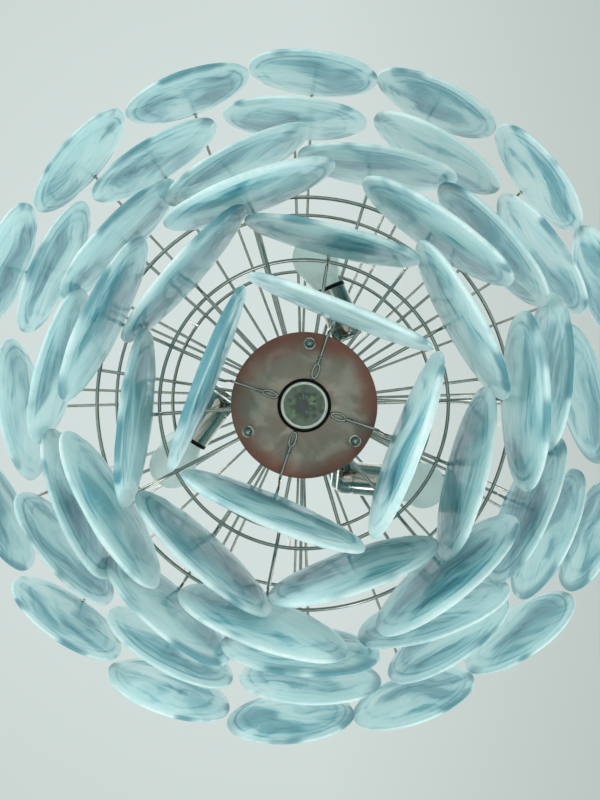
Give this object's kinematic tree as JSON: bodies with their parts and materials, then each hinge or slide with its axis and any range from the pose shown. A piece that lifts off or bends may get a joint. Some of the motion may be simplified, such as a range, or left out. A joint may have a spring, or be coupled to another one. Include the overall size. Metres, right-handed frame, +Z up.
{
  "type": "disc chandelier",
  "caption": "Tiered chandelier: marbled glass discs hung on hooks at the ends of a chromed wire frame, with a round plate, a spot lamp and pear bulbs in the middle.",
  "frame": {"origin": "top of the inside of the hanging eye, where the ceiling hook bears", "axes": "+Z up, along the stem; +X across the eye's hole plane"},
  "size_m": [0.8188, 0.818, 0.627],
  "materials": {
    "chrome": "polished",
    "marbled_glass": "gloss",
    "bronze": "satin",
    "black_metal": "satin",
    "dichroic_glass": "gloss",
    "frosted_glass": "frosted"
  },
  "bodies": {
    "frame": {"hanging_eye": "chrome", "stem": "chrome", "top_wheel": "chrome", "fifth_wheel": "chrome", "upper_wheel": "chrome", "lower_wheel": "chrome", "spacer_top": "chrome", "spacer_middle": "chrome", "spacer_bottom": "chrome", "stem_nut": "chrome", "stud_1": "chrome", "stud_2": "chrome", "stud_3": "chrome", "dome_nut_1": "chrome", "dome_nut_2": "chrome", "dome_nut_3": "chrome", "lowest_arm_1": "chrome", "lowest_arm_2": "chrome", "lowest_arm_3": "chrome", "lowest_arm_4": "chrome", "lamp_bracket_lower": "chrome", "lamp_bracket_upper": "chrome", "lamp_holder_lower_1": "chrome", "lamp_holder_lower_2": "chrome", "lamp_holder_lower_3": "chrome", "lamp_holder_upper_1": "chrome", "lamp_holder_upper_2": "chrome", "lamp_holder_upper_3": "chrome", "cover_plate": "bronze", "spot_ring": "black_metal", "spot_holder": "black_metal", "spot_lamp": "dichroic_glass", "bulb_lower_1": "frosted_glass", "bulb_lower_2": "frosted_glass", "bulb_lower_3": "frosted_glass", "bulb_upper_1": "frosted_glass", "bulb_upper_2": "frosted_glass", "bulb_upper_3": "frosted_glass", "discs_tier_4": "marbled_glass", "discs_tier_5": "marbled_glass", "discs_tier_6": "marbled_glass"},
    "disc_1_01": {"disc_1_01": "marbled_glass"},
    "disc_1_02": {"disc_1_02": "marbled_glass"},
    "disc_1_03": {"disc_1_03": "marbled_glass"},
    "disc_1_04": {"disc_1_04": "marbled_glass"},
    "disc_2_01": {"disc_2_01": "marbled_glass"},
    "disc_2_02": {"disc_2_02": "marbled_glass"},
    "disc_2_03": {"disc_2_03": "marbled_glass"},
    "disc_2_04": {"disc_2_04": "marbled_glass"},
    "disc_2_05": {"disc_2_05": "marbled_glass"},
    "disc_2_06": {"disc_2_06": "marbled_glass"},
    "disc_2_07": {"disc_2_07": "marbled_glass"},
    "disc_3_01": {"disc_3_01": "marbled_glass"},
    "disc_3_02": {"disc_3_02": "marbled_glass"},
    "disc_3_03": {"disc_3_03": "marbled_glass"},
    "disc_3_04": {"disc_3_04": "marbled_glass"},
    "disc_3_05": {"disc_3_05": "marbled_glass"},
    "disc_3_06": {"disc_3_06": "marbled_glass"},
    "disc_3_07": {"disc_3_07": "marbled_glass"}
  },
  "joints": [
    {"name": "disc_1_01_sway", "type": "hinge", "parent": "frame", "child": "disc_1_01", "pos_m": [0.07966, 0.02665, -0.467], "axis": [0.9397, 0.342, 0], "range_deg": [-3, 3]},
    {"name": "disc_1_02_sway", "type": "hinge", "parent": "frame", "child": "disc_1_02", "pos_m": [-0.02665, 0.07966, -0.467], "axis": [-0.3827, 0.9239, 0], "range_deg": [-3, 3]},
    {"name": "disc_1_03_sway", "type": "hinge", "parent": "frame", "child": "disc_1_03", "pos_m": [-0.07966, -0.02665, -0.467], "axis": [-0.9304, -0.3665, 0], "range_deg": [-3, 3]},
    {"name": "disc_1_04_sway", "type": "hinge", "parent": "frame", "child": "disc_1_04", "pos_m": [0.02665, -0.07966, -0.467], "axis": [0.3665, -0.9304, 0], "range_deg": [-3, 3]},
    {"name": "disc_2_01_sway", "type": "hinge", "parent": "frame", "child": "disc_2_01", "pos_m": [0.14212, 0.058, -0.393], "axis": [0.9694, 0.2453, 0], "range_deg": [-2, 2]},
    {"name": "disc_2_02_sway", "type": "hinge", "parent": "frame", "child": "disc_2_02", "pos_m": [0.04242, 0.1444, -0.393], "axis": [0.3152, 0.949, 0], "range_deg": [-2, 2]},
    {"name": "disc_2_03_sway", "type": "hinge", "parent": "frame", "child": "disc_2_03", "pos_m": [-0.09018, 0.12852, -0.393], "axis": [-0.6699, 0.7425, 0], "range_deg": [-2, 2]},
    {"name": "disc_2_04_sway", "type": "hinge", "parent": "frame", "child": "disc_2_04", "pos_m": [-0.14972, 0.0092, -0.393], "axis": [-0.9936, -0.113, 0], "range_deg": [-2, 2]},
    {"name": "disc_2_05_sway", "type": "hinge", "parent": "frame", "child": "disc_2_05", "pos_m": [-0.10657, -0.118, -0.393], "axis": [-0.7441, -0.668, 0], "range_deg": [-2, 2]},
    {"name": "disc_2_06_sway", "type": "hinge", "parent": "frame", "child": "disc_2_06", "pos_m": [0.02419, -0.14702, -0.393], "axis": [0.2308, -0.973, 0], "range_deg": [-2, 2]},
    {"name": "disc_2_07_sway", "type": "hinge", "parent": "frame", "child": "disc_2_07", "pos_m": [0.13832, -0.0774, -0.393], "axis": [0.8769, -0.4807, 0], "range_deg": [-2, 2]},
    {"name": "disc_3_01_sway", "type": "hinge", "parent": "frame", "child": "disc_3_01", "pos_m": [0.1939, -0.00609, -0.393], "axis": [0.9999, -0.014, 0], "range_deg": [-10, 10]},
    {"name": "disc_3_02_sway", "type": "hinge", "parent": "frame", "child": "disc_3_02", "pos_m": [0.12566, 0.1478, -0.393], "axis": [0.6343, 0.7731, 0], "range_deg": [-10, 10]},
    {"name": "disc_3_03_sway", "type": "hinge", "parent": "frame", "child": "disc_3_03", "pos_m": [-0.03721, 0.1904, -0.393], "axis": [-0.3265, 0.9452, 0], "range_deg": [-10, 10]},
    {"name": "disc_3_04_sway", "type": "hinge", "parent": "frame", "child": "disc_3_04", "pos_m": [-0.17206, 0.08962, -0.393], "axis": [-0.8615, 0.5078, 0], "range_deg": [-10, 10]},
    {"name": "disc_3_05_sway", "type": "hinge", "parent": "frame", "child": "disc_3_05", "pos_m": [-0.17735, -0.07864, -0.393], "axis": [-0.8994, -0.437, 0], "range_deg": [-10, 10]},
    {"name": "disc_3_06_sway", "type": "hinge", "parent": "frame", "child": "disc_3_06", "pos_m": [-0.04909, -0.18769, -0.393], "axis": [-0.3364, -0.9417, 0], "range_deg": [-10, 10]},
    {"name": "disc_3_07_sway", "type": "hinge", "parent": "frame", "child": "disc_3_07", "pos_m": [0.11613, -0.1554, -0.393], "axis": [0.5703, -0.8214, 0], "range_deg": [-10, 10]}
  ]
}
